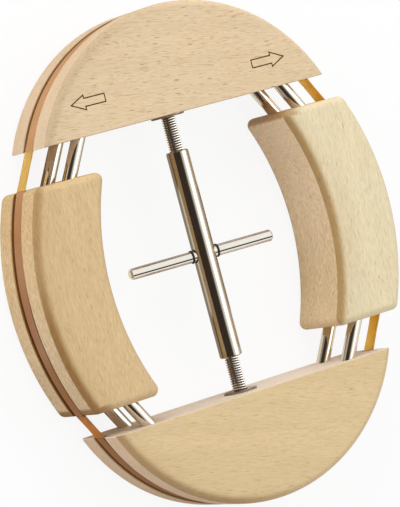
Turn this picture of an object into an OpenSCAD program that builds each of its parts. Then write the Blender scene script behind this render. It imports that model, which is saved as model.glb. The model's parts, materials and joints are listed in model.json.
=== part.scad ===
// Hat stretcher: four wooden blocks that a right- and left-hand spindle spreads into a larger oval.
// It lies flat. X runs across, Y along the spindle towards the front block, Z through the thickness.
// The origin is on the table, under the middle of the spindle. Millimetres.

/* [Wooden blocks] */
// Thickness of all four blocks
block_t = 33.5; // [26:0.5:45]
// Rounding of the blocks' long edges
edge_r = 3; // [1:0.25:5]
// Radius of an end block's curved rim
end_r = 73; // [65:1:90]
// Depth of an end block from its flat to its outermost point
end_depth = 44.5; // [40:0.5:52]
// Length of a side block
side_len = 92; // [80:1:104]
// Width of a side block at its middle
side_w = 31.5; // [27:0.5:38]
// Radius of a side block's outer face
side_r = 110; // [95:1:140]
// Radius of a side block's hollow inner face
side_inner_r = 107; // [95:1:140]

/* [Setting] */
// Gap between the end blocks and the side blocks
spread = 12.5; // [8:0.5:18]
// Half the width across the two side blocks
side_reach = 84.7; // [80:0.1:90]
// Sideways lie of each end block on its rods
lie = 1.2; // [0:0.1:2]

/* [Rim groove and band] */
// Width of the groove round the rim
groove_w = 9.2; // [6:0.2:12]
// Depth of the groove
groove_d = 1.8; // [1.5:0.1:5]
// Width of the elastic band
band_w = 6.8; // [5:0.2:9]
// Thickness of the elastic band
band_t = 0.8; // [0.6:0.05:2.5]
// Thinning of each face of the band where it is stretched across a gap
band_thin = 0.05; // [0.03:0.01:0.2]

/* [Guide rods] */
// Diameter of a guide rod
rod_d = 5.6; // [4:0.1:7]
// Angle between the rods and the spindle
rod_angle = 30; // [24:1:34]
// Distance between the upper and the lower rod of a pair
rod_pitch = 19.6; // [15:0.2:23]
// Distance of a rod from the inner corner of the side block's end
rod_inset = 13.4; // [10:0.2:17]
// Length of a rod held in its end block
rod_seat = 25; // [18:0.5:30]
// Length of a rod inside its side block
rod_reach = 22; // [16:0.5:26]
// Free run in the bore past the end of the rod
rod_run = 14; // [12:0.5:18]

/* [Spindle] */
// Diameter of the shaft
shaft_d = 9.4; // [7:0.1:12]
// Length of the shaft
shaft_len = 87; // [70:1:92]
// Diameter of the screws, over the thread
screw_d = 6; // [5:0.1:7]
// Length of a screw inside its end block
screw_grip = 19; // [13:0.5:22]
// Free run in the hole past the end of the screw
screw_run = 14; // [12:0.5:16]
// Diameter of a screw's shank inside the shaft
shank_d = 4.6; // [3:0.1:4.8]
// Length of a screw's shank inside the shaft
shank_len = 14; // [8:0.5:20]
// Chamfer of the shaft's ends
shaft_chamfer = 0.5; // [0.2:0.1:1]
// Chamfer of a screw's tip
screw_chamfer = 1; // [0.4:0.1:1.5]

/* [Threaded inserts] */
// Diameter of an insert's flange
flange_d = 14; // [11:0.5:20]
// Thickness of an insert's flange
flange_t = 0.8; // [0.6:0.1:2.5]
// Diameter of an insert's barrel
barrel_d = 9; // [8:0.1:10]
// Length of an insert's barrel
barrel_len = 12; // [8:0.5:18]

/* [Handle] */
// Diameter of the handle bar
bar_d = 4.7; // [3.6:0.1:5.5]
// Length of the handle bar
bar_len = 64.6; // [50:0.2:80]
// Turn of the bar about the spindle, right end up, degrees
bar_turn = 8; // [0:1:15]
// Place of the bar's middle along its hole, from the shaft's axis
bar_set = -1.4; // [-3:0.1:3]
// Chamfer of the bar's ends
bar_chamfer = 0.7; // [0.3:0.1:1.5]
// Thickness of a retaining ring
ring_t = 1; // [0.8:0.05:1.4]
// Height of a retaining ring above the bar
ring_proud = 0.45; // [0.3:0.05:0.7]
// Play between a retaining ring and the shaft, with the rings' middle on the shaft's axis
ring_play = 0.5; // [0.3:0.05:1.5]

/* [Clearances] */
// Radial clearance of a rod or bar that slides
slide_clear = 0.08; // [0.02:0.01:0.1]
// Radial clearance of a screw in its thread and of its shank
thread_clear = 0.05; // [0.02:0.01:0.1]
// Radial clearance of a piece that is glued or pressed in
glue_clear = 0.03; // [0.01:0.01:0.1]
// Radial clearance of a screw in the hole past its insert
hole_clear = 0.6; // [0.3:0.1:0.9]
// Room under the band in its groove, and between its stretches
band_seat = 0.3; // [0.15:0.05:0.5]

/* [Hidden] */
$fn = 96;

// Colours of the pieces
wood_color = [0.87, 0.77, 0.58];
bright_color = [0.80, 0.79, 0.77];
ring_color = [0.10, 0.09, 0.09];
band_color = [0.80, 0.56, 0.25];

// Overlap of a cutter past the face that it cuts
cut = 1;

// Main planes and arc centres
mid_z = block_t / 2;
side_half = side_len / 2;
flat_y = side_half + spread;
end_arc_y = flat_y + end_depth - end_r;
side_arc_x = side_reach - side_r;
inner_arc_x = side_reach - side_w - side_inner_r;
inner_corner_x = inner_arc_x + sqrt(side_inner_r ^ 2 - side_half ^ 2);

// The side blocks follow the lie of the end blocks along their rods
side_lie = lie / tan(rod_angle);

// Guide rods, measured from the point where a rod enters the flat of its end block
rod_x = inner_corner_x + rod_inset - spread * tan(rod_angle);
rod_levels = [mid_z - rod_pitch / 2, mid_z + rod_pitch / 2];

// Band in plan: its inner radius on each kind of block, and the end of its seat on a side block
band_end_r = end_r - groove_d + band_seat;
band_side_r = side_r - groove_d + band_seat;
band_corner_x = side_arc_x + sqrt(band_side_r ^ 2 - side_half ^ 2);

// Retaining rings on the handle bar
ring_x = shaft_d / 2 + ring_play + ring_t / 2;
ring_center_r = bar_d / 2 + ring_proud - ring_t / 2;

// Puts a piece of the front half in its place in the rear half, and of the right half in the left
module opposite() rotate([0, 0, 180]) children();

// Lays a piece that stands on Z along Y, starting at a distance from the middle of the spindle
module along_spindle(y) translate([0, y, mid_z]) rotate([-90, 0, 0]) children();

// Lays a piece that is centred on Z along the handle bar's hole
module along_bar() {
    translate([0, 0, mid_z]) rotate([0, 90 - bar_turn, 0]) children();
}

// Rod or bar with chamfered ends, standing on Z
module chamfered_rod(d, len, chamfer_low, chamfer_high) {
    rotate_extrude() polygon([
        [0, 0], [d / 2 - chamfer_low, 0], [d / 2, chamfer_low],
        [d / 2, len - chamfer_high], [d / 2 - chamfer_high, len], [0, len]
    ]);
}

// Rounded rectangle with one corner at the origin
module rounded_rect(w, h, r) {
    translate([r, 0]) square([w - 2 * r, h]);
    translate([0, r]) square([w, h - 2 * r]);
    for (x = [r, w - r], y = [r, h - r]) translate([x, y]) circle(r);
}

// Disc of one block's thickness with rounded edges and the band's groove round its rim
module grooved_disc(r) {
    rotate_extrude() difference() {
        intersection() {
            translate([-r, 0]) rounded_rect(2 * r, block_t, edge_r);
            square([r, block_t]);
        }
        translate([r - groove_d, mid_z - groove_w / 2]) square([groove_d + cut, groove_w]);
    }
}

// Disc that hollows out a side block and leaves its edges rounded
module flared_disc(r) {
    rotate_extrude() {
        square([r, block_t]);
        difference() {
            square([r + edge_r, block_t]);
            translate([r, 0]) rounded_rect(3 * edge_r, block_t, edge_r);
        }
    }
}

// A rod's line, standing on Z: it starts in the flat of the front block and runs into a side block
module rod_line(side, z) {
    translate([side * rod_x + lie, flat_y, z]) rotate([90, 0, side * rod_angle]) children();
}

// Round hole for a rod, between two distances along its line
module rod_hole(side, z, from, to, clear) {
    rod_line(side, z) translate([0, 0, from]) cylinder(d = rod_d + 2 * clear, h = to - from);
}

// End block, in the place of the front one
module end_block() {
    difference() {
        intersection() {
            translate([lie, end_arc_y, 0]) grooved_disc(end_r);
            translate([lie - end_r - cut, flat_y, -cut])
                cube([2 * (end_r + cut), end_depth + cut, block_t + 2 * cut]);
        }
        for (side = [-1, 1], z = rod_levels)
            rod_hole(side, z, -rod_seat, cut + rod_d, glue_clear);
        along_spindle(flat_y - cut) cylinder(d = barrel_d + 2 * glue_clear, h = cut + barrel_len);
        along_spindle(flat_y) cylinder(d = screw_d + 2 * hole_clear, h = screw_grip + screw_run);
    }
}

// Distance along a rod's line, from the flat of the end block to the end of the side block
function rod_gap(side) = (spread - side * side_lie) / cos(rod_angle);

// Side block, in the place of the right one
module side_block() {
    difference() {
        translate([0, side_lie, 0]) difference() {
            intersection() {
                translate([side_arc_x, 0, 0]) grooved_disc(side_r);
                translate([0, -side_half, 0]) rotate([90, 0, 90])
                    linear_extrude(side_reach + cut) rounded_rect(side_len, block_t, edge_r);
            }
            translate([inner_arc_x, 0, 0]) flared_disc(side_inner_r);
        }
        for (z = rod_levels) {
            side_bore(1, z);
            opposite() side_bore(-1, z);
        }
    }
}

// Bore in a side block's front end, in which a rod of the front block slides
module side_bore(side, z) {
    rod_hole(side, z, rod_gap(side) - rod_d, rod_gap(side) + rod_reach + rod_run, slide_clear);
}

// Guide rod, in the place of one of the front block
module guide_rod(side, z) {
    color(bright_color) rod_line(side, z) translate([0, 0, -rod_seat])
        cylinder(d = rod_d, h = rod_seat + rod_gap(side) + rod_reach);
}

// Flanged threaded insert, in the place of the front one
module insert() {
    along_spindle(flat_y) difference() {
        union() {
            translate([0, 0, -flange_t]) cylinder(d = flange_d, h = flange_t);
            cylinder(d = barrel_d, h = barrel_len);
        }
        translate([0, 0, -flange_t - cut])
            cylinder(d = screw_d + 2 * thread_clear, h = flange_t + barrel_len + 2 * cut);
    }
}

// Screw with its shank, in the place of the front one
module screw() {
    along_spindle(shaft_len / 2) {
        translate([0, 0, -shank_len]) cylinder(d = shank_d, h = shank_len);
        chamfered_rod(screw_d, flat_y + screw_grip - shaft_len / 2, 0, screw_chamfer);
    }
}

// Point of a side block's front end where the band's inner face meets it
function band_corner(side) = [side * band_corner_x, side * side_lie + side_half];

// Angle, at the centre of the end block's arc, of the point where a straight run of the band leaves it,
// measured from that side: a tangent to the band's seat, but at the latest the flat of the block
function leave_angle(side) =
    let (
        p = band_corner(side) - [lie, end_arc_y],
        tangent = atan2(p.y, side * p.x) + acos(min(1, band_end_r / norm(p)))
    )
    max(tangent, asin((flat_y - end_arc_y) / band_end_r));

// Point at a distance along that direction
function leave_point(side, r) = r * [side * cos(leave_angle(side)), sin(leave_angle(side))];

// Straight run of the band, in plan, from the end block's arc to just short of a side block
module band_run(side) {
    leave = [lie, end_arc_y] + leave_point(side, band_end_r);
    back = (leave - band_corner(side)) / norm(leave - band_corner(side));
    out = side * [back.y, -back.x];
    start = leave + cut * back;
    land = band_corner(side) + band_seat * back;
    inner = band_thin * out;
    outer = (band_t - band_thin) * out;
    polygon([start + inner, start + outer, land + outer, land + inner]);
}

// Band round an end block with its two straight runs, in the place of the front one
module end_band() {
    far = 2 * end_r;
    translate([0, 0, mid_z - band_w / 2]) {
        translate([lie, end_arc_y, 0]) linear_extrude(band_w) intersection() {
            difference() {
                circle(band_end_r + band_t);
                circle(band_end_r);
            }
            polygon([
                [0, 0], leave_point(1, far), far * [1, 1], far * [-1, 1], leave_point(-1, far)
            ]);
        }
        for (side = [-1, 1]) linear_extrude(band_w) band_run(side);
    }
}

// Band in a side block's groove, in the place of the right one
module side_band() {
    translate([side_arc_x, side_lie, mid_z - band_w / 2]) linear_extrude(band_w) intersection() {
        difference() {
            circle(band_side_r + band_t);
            circle(band_side_r);
        }
        translate([0, -side_half]) square([2 * side_r, side_len]);
    }
}

module front_block() color(wood_color) end_block();

module rear_block() color(wood_color) opposite() end_block();

module right_block() color(wood_color) side_block();

module left_block() color(wood_color) opposite() side_block();

module front_insert() color(bright_color) insert();

module rear_insert() color(bright_color) opposite() insert();

module shaft() {
    color(bright_color) difference() {
        along_spindle(-shaft_len / 2) chamfered_rod(shaft_d, shaft_len, shaft_chamfer, shaft_chamfer);
        for (turn = [0, 180]) rotate([0, 0, turn]) along_spindle(shaft_len / 2 - shank_len)
            cylinder(d = shank_d + 2 * thread_clear, h = shank_len + cut);
        along_bar() cylinder(d = bar_d + 2 * slide_clear, h = 2 * shaft_d, center = true);
    }
}

module front_screw() color(bright_color) screw();

module rear_screw() color(bright_color) opposite() screw();

module handle_bar() {
    color(bright_color) difference() {
        along_bar() translate([0, 0, bar_set - bar_len / 2])
            chamfered_rod(bar_d, bar_len, bar_chamfer, bar_chamfer);
        for (side = [-1, 1]) along_bar() translate([0, 0, side * ring_x]) difference() {
            cylinder(d = bar_d + 2 * cut, h = ring_t + 2 * glue_clear, center = true);
            cylinder(r = ring_center_r - ring_t / 2 - glue_clear, h = 2 * ring_t, center = true);
        }
    }
}

module handle_ring(side) {
    color(ring_color) along_bar() translate([0, 0, side * ring_x])
        rotate_extrude() translate([ring_center_r, 0]) circle(d = ring_t);
}

module band_front() color(band_color) end_band();

module band_rear() color(band_color) opposite() end_band();

module band_right() color(band_color) side_band();

module band_left() color(band_color) opposite() side_band();

front_block();
rear_block();
left_block();
right_block();
front_insert();
rear_insert();
shaft();
front_screw();
rear_screw();
handle_bar();
handle_ring(-1);  // handle_ring_left
handle_ring(1);  // handle_ring_right
guide_rod(-1, rod_levels[1]);  // rod_front_left_upper
guide_rod(-1, rod_levels[0]);  // rod_front_left_lower
guide_rod(1, rod_levels[1]);  // rod_front_right_upper
guide_rod(1, rod_levels[0]);  // rod_front_right_lower
opposite() guide_rod(1, rod_levels[1]);  // rod_rear_left_upper
opposite() guide_rod(1, rod_levels[0]);  // rod_rear_left_lower
opposite() guide_rod(-1, rod_levels[1]);  // rod_rear_right_upper
opposite() guide_rod(-1, rod_levels[0]);  // rod_rear_right_lower
band_front();
band_rear();
band_left();
band_right();
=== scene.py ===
"""A hat stretcher, dressed for its picture: four beech blocks on bright guide rods, a spindle with a
right-hand and a left-hand screw, a handle bar through the spindle, and an amber band in the rim groove.

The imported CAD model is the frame. Each piece here stands for one of its nodes and rides on that node's
body. The front and the right half are worked out in full; the rear and the left half are the same, turned
half round.
"""

import json
import math

import bmesh
import bpy
from mathutils import Matrix, Vector


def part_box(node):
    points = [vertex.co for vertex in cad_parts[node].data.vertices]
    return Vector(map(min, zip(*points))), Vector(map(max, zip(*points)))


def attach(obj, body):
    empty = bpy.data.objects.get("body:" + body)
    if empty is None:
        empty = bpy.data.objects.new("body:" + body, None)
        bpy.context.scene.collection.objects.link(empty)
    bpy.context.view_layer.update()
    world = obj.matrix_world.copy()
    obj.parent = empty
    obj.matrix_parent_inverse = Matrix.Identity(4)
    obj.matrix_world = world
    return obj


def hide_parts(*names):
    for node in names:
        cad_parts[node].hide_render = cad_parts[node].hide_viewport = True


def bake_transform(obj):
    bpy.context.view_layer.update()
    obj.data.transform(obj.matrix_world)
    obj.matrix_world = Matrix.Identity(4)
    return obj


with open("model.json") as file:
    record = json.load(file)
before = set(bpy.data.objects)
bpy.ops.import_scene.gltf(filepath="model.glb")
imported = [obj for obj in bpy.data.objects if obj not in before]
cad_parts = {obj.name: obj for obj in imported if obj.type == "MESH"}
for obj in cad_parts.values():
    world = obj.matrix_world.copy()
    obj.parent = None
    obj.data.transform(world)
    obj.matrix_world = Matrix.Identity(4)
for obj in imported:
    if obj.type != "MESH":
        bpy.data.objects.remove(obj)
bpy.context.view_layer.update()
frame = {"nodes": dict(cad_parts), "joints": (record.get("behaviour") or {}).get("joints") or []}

MM = 0.001

# Wooden blocks: sizes that the frame's boxes don't give
EDGE_R = 3.0 * MM
SIDE_OUTER_R = 110.0 * MM
SIDE_INNER_R = 107.0 * MM
FLAT_CHAMFER = 0.25 * MM
GROOVE_W = 9.2 * MM
GROOVE_D = 1.8 * MM
GROOVE_LIP = 0.3 * MM

# Band
BAND_W = 6.8 * MM
BAND_T = 0.8 * MM
BAND_EDGE_R = 0.25 * MM
BAND_SEAT = 0.3 * MM
BAND_NECKING = 0.05

# Guide rods and their bores
ROD_R = 2.8 * MM
ROD_CHAMFER = 0.4 * MM
ROD_SEAT = 25.0 * MM
ROD_REACH = 22.0 * MM
ROD_RUN = 14.0 * MM
BORE_OVERRUN = 4 * ROD_R
GLUE_GAP = 0.03 * MM
SLIDE_GAP = 0.08 * MM

# Spindle, inserts and handle
SHAFT_R = 4.7 * MM
SHAFT_CHAMFER = 0.5 * MM
MOUTH_DEPTH = 0.9 * MM
MOUTH_FLARE = 0.45 * MM
SCREW_R = 3.0 * MM
SCREW_ROOT_R = 2.39 * MM
SCREW_PITCH = 1.0 * MM
SCREW_CHAMFER = 1.0 * MM
SHANK_R = 2.3 * MM
SHANK_LEN = 14.0 * MM
SHANK_GAP = 0.05 * MM
FLANGE_R = 7.0 * MM
FLANGE_T = 0.8 * MM
FLANGE_CHAMFER = 0.4 * MM
BARREL_R = 4.5 * MM
BARREL_LEN = 12.0 * MM
HOLE_R = 3.6 * MM
HOLE_DEPTH = 33.0 * MM
BAR_R = 2.35 * MM
BAR_CHAMFER = 0.7 * MM
RING_R = 2.3 * MM
RING_T = 1.0 * MM

# Profile of the thread: shares of the pitch, with the radius there
THREAD_FLANKS = ((0.0, SCREW_ROOT_R), (0.14, SCREW_ROOT_R), (0.35, SCREW_R), (0.65, SCREW_R),
                 (0.86, SCREW_ROOT_R))

# Outline arrows burnt into the front block
ARROW_LEN = 15.6 * MM
ARROW_HEAD = 6.2 * MM
ARROW_HALF_HEAD = 3.0 * MM
ARROW_HALF_STEM = 1.65 * MM
ARROW_LINE = 0.5 * MM
ARROW_DEPTH = 0.3 * MM
ARROW_X = 42.8 * MM
ARROW_LEFT_Y = 13.2 * MM
ARROW_RIGHT_Y = 11.4 * MM

# Fineness of the meshes
ROUND = 64
GROOVE_ROUND = 4 * ROUND
SHAFT_ROUND = 2 * ROUND
THREAD_ROUND = ROUND // 2
SPARE_TURNS = 3
RING_ROUND = 16
RIM_STEPS = 120
RUN_STEPS = 32
EDGE_STEPS = 8
CORNER_STEPS = 6
BAND_EDGE_STEPS = 3
OVERCUT = 1.0 * MM
MERGE = 1e-7
SHARP_ANGLE = math.radians(32)

# Places that follow from the frame's boxes; a lie is how far a block lies off the middle
front_low, front_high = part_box("front_block")
right_low, right_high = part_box("right_block")
BLOCK_T = front_high.z - front_low.z
MID_Z = (front_high.z + front_low.z) / 2
FLAT_Y = front_low.y
LIE = (front_low.x + front_high.x) / 2
END_DEPTH = front_high.y - FLAT_Y
END_R = (((front_high.x - front_low.x) / 2) ** 2 + END_DEPTH ** 2) / (2 * END_DEPTH)
END_CENTRE = Vector((LIE, front_high.y - END_R))
SIDE_LIE = (right_low.y + right_high.y) / 2
SIDE_HALF = (right_high.y - right_low.y) / 2
SIDE_CENTRE = Vector((right_high.x - SIDE_OUTER_R, SIDE_LIE))
INNER_CENTRE = Vector((right_low.x - math.sqrt(SIDE_INNER_R ** 2 - SIDE_HALF ** 2), SIDE_LIE))

# Directions: the joints of the side blocks run along the front rods, and those of their stretches of
# the band along the rear rods
JOINTS = {joint["name"]: joint for joint in frame["joints"]}
ALONG_Y = Vector((0, 1, 0))
UPRIGHT = Vector((0, 0, 1))
BAR_AXIS = Vector(JOINTS["bar_slide"]["axis"]).normalized()
RODS = {}
for end, follows in (("front", "draw"), ("rear", "band_draw")):
    for side in ("left", "right"):
        for level in ("upper", "lower"):
            RODS[f"rod_{end}_{side}_{level}"] = Vector(JOINTS[f"{side}_{follows}"]["axis"]).normalized()


# Meshes

def solid(name, points, faces):
    """A mesh object from points and faces, with its faces turned outwards."""
    mesh = bpy.data.meshes.new(name)
    mesh.from_pydata([tuple(p) for p in points], [], faces)
    shape = bmesh.new()
    shape.from_mesh(mesh)
    bmesh.ops.remove_doubles(shape, verts=shape.verts, dist=MERGE)
    bmesh.ops.recalc_face_normals(shape, faces=shape.faces)
    shape.to_mesh(mesh)
    shape.free()
    made = bpy.data.objects.new(name, mesh)
    bpy.context.scene.collection.objects.link(made)
    return made


def skinned(name, loops, ring=False):
    """A solid through loops of equal count, closed by a face at each end, or into a ring."""
    count = len(loops[0])
    points = [p for loop in loops for p in loop]
    rows = len(loops) if ring else len(loops) - 1
    faces = []
    for row in range(rows):
        this = row * count
        after = (row + 1) % len(loops) * count
        for i in range(count):
            j = (i + 1) % count
            faces.append((this + i, this + j, after + j, after + i))
    if not ring:
        faces += [tuple(range(count)), tuple(range(len(points) - count, len(points)))]
    return solid(name, points, faces)


def turned(name, profile, origin, axis, ring=False, count=ROUND):
    """A piece off the lathe: profile lists (distance along the axis, radius)."""
    across = axis.orthogonal().normalized()
    up = axis.cross(across)
    turns = [math.tau * i / count for i in range(count)]
    spokes = [across * math.cos(a) + up * math.sin(a) for a in turns]
    loops = [[origin + axis * along + spoke * radius for spoke in spokes] for along, radius in profile]
    return skinned(name, loops, ring)


def chamfered(start, end, radius, chamfer):
    """Lathe profile of a plain rod with a chamfer at each end."""
    inner = radius - chamfer
    return [(start, inner), (start + chamfer, radius), (end - chamfer, radius), (end, inner)]


def carved(obj, cutters, operation="DIFFERENCE"):
    """Cuts, joins or keeps what the cutters cover, and removes the cutters."""
    for cutter in cutters:
        step = obj.modifiers.new("carve", "BOOLEAN")
        step.operation = operation
        step.solver = "EXACT"
        step.object = cutter
        step.material_mode = "TRANSFER"
        view = bpy.context.evaluated_depsgraph_get()
        mesh = bpy.data.meshes.new_from_object(obj.evaluated_get(view))
        obj.modifiers.clear()
        obj.data = mesh
        bpy.data.objects.remove(cutter)
    return obj


def smoothed(obj):
    """Smooth shading with crisp edges."""
    obj.data.polygons.foreach_set("use_smooth", [True] * len(obj.data.polygons))
    obj.data.set_sharp_from_angle(angle=SHARP_ANGLE)


def finished(obj, material, body, node):
    """Gives a piece its shading, its finish and its place in the frame."""
    if not any(obj.data.materials):
        obj.data.materials.clear()
        obj.data.materials.append(material)
    smoothed(obj)
    even = obj.modifiers.new("even shading", "WEIGHTED_NORMAL")
    even.keep_sharp = True
    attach(obj, body)
    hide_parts(node)


def turned_half(points, half):
    """Points of the front or right half, or turned half round into the rear or left half."""
    return [Vector((half * p.x, half * p.y, p.z)) for p in points]


def middle(node):
    """The middle of a node's box."""
    low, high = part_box(node)
    return (low + high) / 2


def span(node, axis):
    """Centre of a straight node, and its reach to both sides along an axis."""
    centre = middle(node)
    reach = [(v.co - centre).dot(axis) for v in frame["nodes"][node].data.vertices]
    return centre, min(reach), max(reach)


# Node trees

# The Mix node's sockets for colours, by number: those for numbers and vectors have the same names
MIX_A = 6
MIX_B = 7
MIX_RESULT = 2


class Value:
    """An output of a node tree. Sums on it add Math nodes to the tree."""

    def __init__(self, tree, socket):
        self.tree = tree
        self.socket = socket

    def output(self, name):
        """Another output of the same node."""
        return Value(self.tree, self.socket.node.outputs[name])

    def __add__(self, other):
        return self.tree.math("ADD", self, other)

    def __sub__(self, other):
        return self.tree.math("SUBTRACT", self, other)

    def __rsub__(self, other):
        return self.tree.math("SUBTRACT", other, self)

    def __mul__(self, other):
        return self.tree.math("MULTIPLY", self, other)

    def __abs__(self):
        return self.tree.math("ABSOLUTE", self)

    __radd__ = __add__
    __rmul__ = __mul__


class Tree:
    """The nodes of a material or a world."""

    def __init__(self, owner):
        owner.use_nodes = True
        self.nodes = owner.node_tree.nodes
        self.links = owner.node_tree.links
        self.nodes.clear()

    def node(self, kind, settings=None, sockets=None, output=0):
        """Adds a node: its settings first, then the values or links of its sockets."""
        made = self.nodes.new("ShaderNode" + kind)
        for name, setting in (settings or {}).items():
            setattr(made, name, setting)
        for name, given in (sockets or {}).items():
            if isinstance(given, Value):
                self.links.new(given.socket, made.inputs[name])
            else:
                made.inputs[name].default_value = given
        return Value(self, made.outputs[output]) if made.outputs else None

    def math(self, operation, *terms):
        """Sums on numbers."""
        return self.node("Math", {"operation": operation}, dict(enumerate(terms)))

    def vector(self, operation, *terms, output=0):
        """Sums on vectors. A length or a distance is the output called Value."""
        return self.node("VectorMath", {"operation": operation}, dict(enumerate(terms)), output)

    def parts(self, vector):
        """A node whose outputs are the X, Y and Z of a vector."""
        return self.node("SeparateXYZ", {}, {"Vector": vector})

    def mixed(self, factor, a, b, blend="MIX"):
        """Colour a turning into colour b."""
        settings = {"data_type": "RGBA", "blend_type": blend, "clamp_factor": True}
        return self.node("Mix", settings, {0: factor, MIX_A: a, MIX_B: b}, MIX_RESULT)

    def tinted(self, factor, a, tint):
        """Colour a, multiplied by a tint where the factor is 1."""
        return self.mixed(factor, a, tint, "MULTIPLY")

    def ramp(self, value, start, end):
        """0 at start and beyond, 1 at end and beyond, smooth between."""
        settings = {"interpolation_type": "SMOOTHSTEP"}
        return self.node("MapRange", settings, {"Value": value, "From Min": start, "From Max": end})

    def noise(self, vector, detail=2.0, roughness=0.5, scale=1.0):
        """Soft patches of values between 0 and 1."""
        sockets = {"Vector": vector, "Scale": scale, "Detail": detail, "Roughness": roughness}
        return self.node("TexNoise", {}, sockets)

    def bump(self, height, strength, distance):
        """A relief for a shader's normal."""
        return self.node("Bump", {}, {"Strength": strength, "Distance": distance, "Height": height})

    def surface(self, sockets):
        """Ends a material in one shader."""
        shader = self.node("BsdfPrincipled", {}, sockets)
        self.node("OutputMaterial", {}, {"Surface": shader})


def new_finish(name):
    """A new material, its nodes, and where a point lies on the object."""
    material = bpy.data.materials.new(name)
    tree = Tree(material)
    return material, tree, tree.node("TexCoord", output="Object")


def colour(red, green, blue):
    """Linear colour from the screen's 0 to 255."""
    def linear(c):
        c /= 255
        return c / 12.92 if c <= 0.04045 else ((c + 0.055) / 1.055) ** 2.4
    return linear(red), linear(green), linear(blue), 1.0


def ratio(a, b):
    """What colour b is multiplied by to become colour a."""
    return a[0] / b[0], a[1] / b[1], a[2] / b[2], 1.0


def between(share, low, high):
    """A value that goes from low to high as a share goes from 0 to 1."""
    return low + share * (high - low)


# Beech. Each kind of mark has a length along the grain and a width across it, the detail and roughness of
# its noise, and the values of that noise at which the mark is absent and full.
BEECH_BAND = (130.0 * MM, 7.0 * MM, 2.0, 0.5, 0.3, 0.7)
BEECH_CLOUD = (34.0 * MM, 16.0 * MM, 2.0, 0.5, 0.35, 0.65)
BEECH_FIBRE = (7.0 * MM, 0.55 * MM, 3.0, 0.65, 0.3, 0.7)
BEECH_STROKE = (4.8 * MM, 0.36 * MM, 1.0, 0.5, 0.42, 0.3)
BEECH_STIPPLE = (1.8 * MM, 0.5 * MM, 1.0, 0.5, 0.5, 0.3)
BEECH_HAIR = (3.0 * MM, 0.38 * MM, 1.0, 0.5, 0.3, 0.7)

# Flecks fill the middle of some cells, and the grain bends a little to the side
FLECK_SIZE = (7.5 * MM, 1.0 * MM)
FLECK_EDGE = (0.24, 0.12)
FLECK_LOT = (0.6, 0.85)
BEND_SIZE = (30.0 * MM, 9.0 * MM)
BEND_REACH = 5.0 * MM

# How strong each mark is, and its shade of the face's tone or its tint
BAND_SHARE = 0.3
CLOUD_SHARE = 0.35
STROKE_SHARE = 0.62
FLECK_SHARE = 0.7
STIPPLE_SHARE = 0.5
HAIR_ON_FACE = 0.3
DARK_FIBRE = (0.92, 0.91, 0.89)
PALE_FIBRE = (1.075, 1.08, 1.085)
STROKE_SHADE = (0.72, 0.6, 0.46)
FLECK_SHADE = (0.52, 0.4, 0.28)
CLOUD_TINT = (1.0, 0.985, 0.92, 1)
STIPPLE_TINT = (0.84, 0.79, 0.72, 1)
DARK_HAIR = (0.84, 0.83, 0.8, 1)
PALE_HAIR = (1.15, 1.16, 1.19, 1)

# Walls and faces, told apart by how level they lie, and the tints between which the walls drift. On the
# right block the paler front end of the walls is painted light.
WALL_LEVEL = (0.5, 0.1)
FACE_LEVEL = (0.12, 0.4)
FLAT_REACH = (FLAT_Y + 0.5 * MM, FLAT_Y + 0.2 * MM)
DRIFT_Y = (-40.0 * MM, 22.0 * MM)
REDDER = (0.88, 0.87, 0.78, 1)
PALER = (1.1, 1.12, 1.14, 1)
GREYER = (1.03, 1.06, 1.2, 1)
YELLOWER = (1.02, 1.0, 0.97, 1)

# Darkening along the edges, partly hand wear and partly painted shade on the rounded edges: a stripe along
# the edge, a wider fade, and a corner
STRIPE_REACH = (4.4 * MM, 0.88 * MM)
FADE_REACH = (15.0 * MM, 0.0)
STRIPE_SHARE = 0.85
FADE_SHARE = 0.22
# The end blocks' wear and painted shade fade out towards the right
UNDARKENED_X = (-35.0 * MM, 25.0 * MM)
FAR_END = (28.0 * MM, 62.0 * MM)
CORNER_END = (3.6 * MM, 2.16 * MM)
CORNER_REACH = (10.0 * MM, 3.0 * MM)
CORNER_SHARE = 0.9

# The groove's walls darkened with painted shade, and its lips lightened with a painted highlight
GROOVE_LEVEL = (GROOVE_W / 2 + 0.2 * MM, GROOVE_W / 2 + 0.05 * MM)
GROOVE_MOUTH = (0.3 * MM, 0.6 * MM)
GROOVE_BOTTOM = (1.6 * GROOVE_D, 1.3 * GROOVE_D)
GROOVE_TINT = (0.52, 0.35, 0.17, 1.0)
# Painted highlight on the groove's lips
LIP_LEVEL = (GROOVE_W / 2 + 0.8 * MM, GROOVE_W / 2 + 0.3 * MM)
LIP_DEPTH = (0.6 * MM, 0.3 * MM)
LIP_TINT = (1.1, 1.1, 1.12, 1)

# Lacquer: its roughness with what the marks add, its shine, and the relief of the marks under it
LACQUER_ROUGH = 0.46
FIBRE_ROUGH = 0.1
FLECK_ROUGH = 0.12
LACQUER_SHINE = 0.35
FIBRE_HEIGHT = 0.5
STROKE_HEIGHT = 0.6
BEECH_RELIEF = (0.3, 0.08 * MM)


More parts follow.
